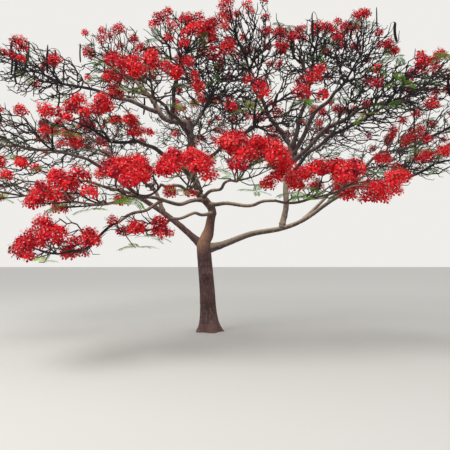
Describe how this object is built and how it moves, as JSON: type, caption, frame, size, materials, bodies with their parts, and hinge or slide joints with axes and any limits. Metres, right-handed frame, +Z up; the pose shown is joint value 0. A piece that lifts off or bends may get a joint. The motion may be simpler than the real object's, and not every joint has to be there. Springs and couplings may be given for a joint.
{
  "type": "flame tree in blossom",
  "caption": "Whole spreading flame tree: leaning trunk, sinuous boughs and a wide flat crown of bare twigs with red blossom heads, feathery leaves and hanging pods.",
  "frame": {"origin": "middle of the flat cut under the trunk, at ground level", "axes": "+Z up the trunk, +X to the viewer's right as the tree is seen from the front, +Y away from the viewer"},
  "size_m": [11.681, 9.2323, 7.2491],
  "materials": {
    "bark": "matt grey-brown bark, reddish on the trunk, with fine ridges and rings",
    "crown": "soft scarlet petals, dark twigs, bright green leaflets and dark brown pods"
  },
  "bodies": {
    "root": {"trunk": "bark", "leader": "bark", "left_bough": "bark", "low_right_bough": "bark", "crown_stem": "bark", "elbow": "bark", "right_stem": "bark", "upper_left_bough": "bark", "top_left_far_limb": "bark", "top_left_limb": "bark", "left_upper_limb": "bark", "top_mid_left_limb": "bark", "centre_limb": "bark", "left_front_limb": "bark", "low_left_bough": "bark", "low_left_tip_limb": "bark", "front_left_bough": "bark", "hanging_limb": "bark", "front_middle_limb": "bark", "front_right_limb": "bark", "right_front_bough": "bark", "centre_near_limb": "bark", "right_far_limb": "bark", "top_middle_limb": "bark", "top_mid_right_limb": "bark", "top_right_limb": "bark", "top_right_far_limb": "bark", "right_twigs_limb": "bark", "far_right_limb": "bark", "back_left_limb": "bark", "back_middle_limb": "bark", "back_right_limb": "bark", "crown_low_left_tip": "crown", "crown_low_left": "crown", "crown_front_left": "crown", "crown_front_middle": "crown", "crown_front_right": "crown", "crown_low_hanging": "crown", "crown_right_low": "crown", "crown_left_front": "crown", "crown_left_mid": "crown", "crown_left_upper": "crown", "crown_centre_near": "crown", "crown_right_mid": "crown", "crown_right_far": "crown", "crown_top_left_far": "crown", "crown_top_left": "crown", "crown_top_mid_left": "crown", "crown_top_middle": "crown", "crown_top_mid_right": "crown", "crown_top_right": "crown", "crown_top_right_far": "crown", "crown_centre": "crown", "crown_right_twigs": "crown", "crown_far_left": "crown", "crown_far_right": "crown", "crown_back_left": "crown", "crown_back_middle": "crown", "crown_back_right": "crown"}
  },
  "joints": []
}
